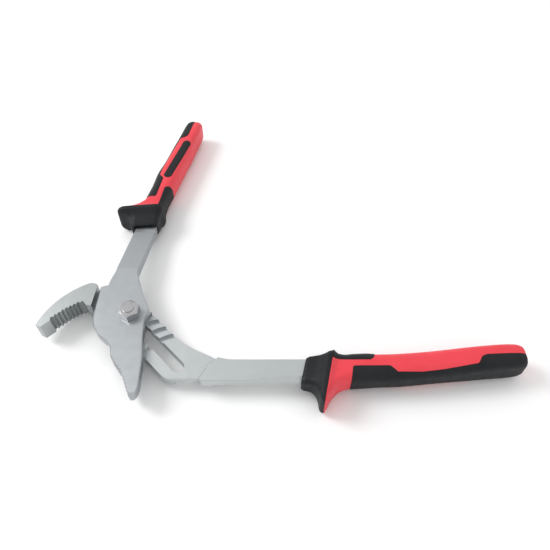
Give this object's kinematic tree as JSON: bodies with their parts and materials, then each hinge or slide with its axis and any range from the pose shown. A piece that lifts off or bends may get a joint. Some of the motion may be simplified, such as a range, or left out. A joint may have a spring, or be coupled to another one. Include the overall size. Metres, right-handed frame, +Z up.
{
  "type": "tongue and groove pliers",
  "caption": "Hand pliers: a curved toothed jaw on a slotted lever, and a second lever whose pivot bolt shifts along stepped grooves to set the jaw opening.",
  "frame": {"origin": "on the pivot bolt's axis, at the flat outer face of its head, in the plane the tool rests on", "axes": "+X along the slotted lever's handle, +Y towards the tongue lever's handle in the open pose, +Z up through the bolt to the nut"},
  "size_m": [0.2526, 0.2281, 0.0208],
  "materials": {
    "forged_steel": "satin, blasted and plated forging",
    "plated_fastener": "bright plated",
    "red_plastic": "fine satin grain",
    "black_rubber": "matt with a fine grain"
  },
  "bodies": {
    "slot_side": {"slot_lever": "forged_steel", "slot_grip_core": "red_plastic", "slot_guard": "black_rubber", "slot_thumb_pad": "black_rubber", "slot_side_pad": "black_rubber", "slot_top_inset": "black_rubber"},
    "pivot": {"pivot_bolt": "plated_fastener", "pivot_nut": "plated_fastener"},
    "tongue_side": {"tongue_lever": "forged_steel", "tongue_grip_core": "red_plastic", "tongue_guard": "black_rubber", "tongue_thumb_pad": "black_rubber", "tongue_side_pad": "black_rubber", "tongue_top_inset": "black_rubber"}
  },
  "joints": [
    {"name": "pivot_slide", "type": "slide", "parent": "slot_side", "child": "pivot", "axis": [0.6947, -0.7193, 0], "range_m": [0, 0.039]},
    {"name": "lever_hinge", "type": "hinge", "parent": "pivot", "child": "tongue_side", "pos_m": [0, 0, 0.0096], "axis": [0, 0, -1], "range_deg": [0, 77]}
  ]
}
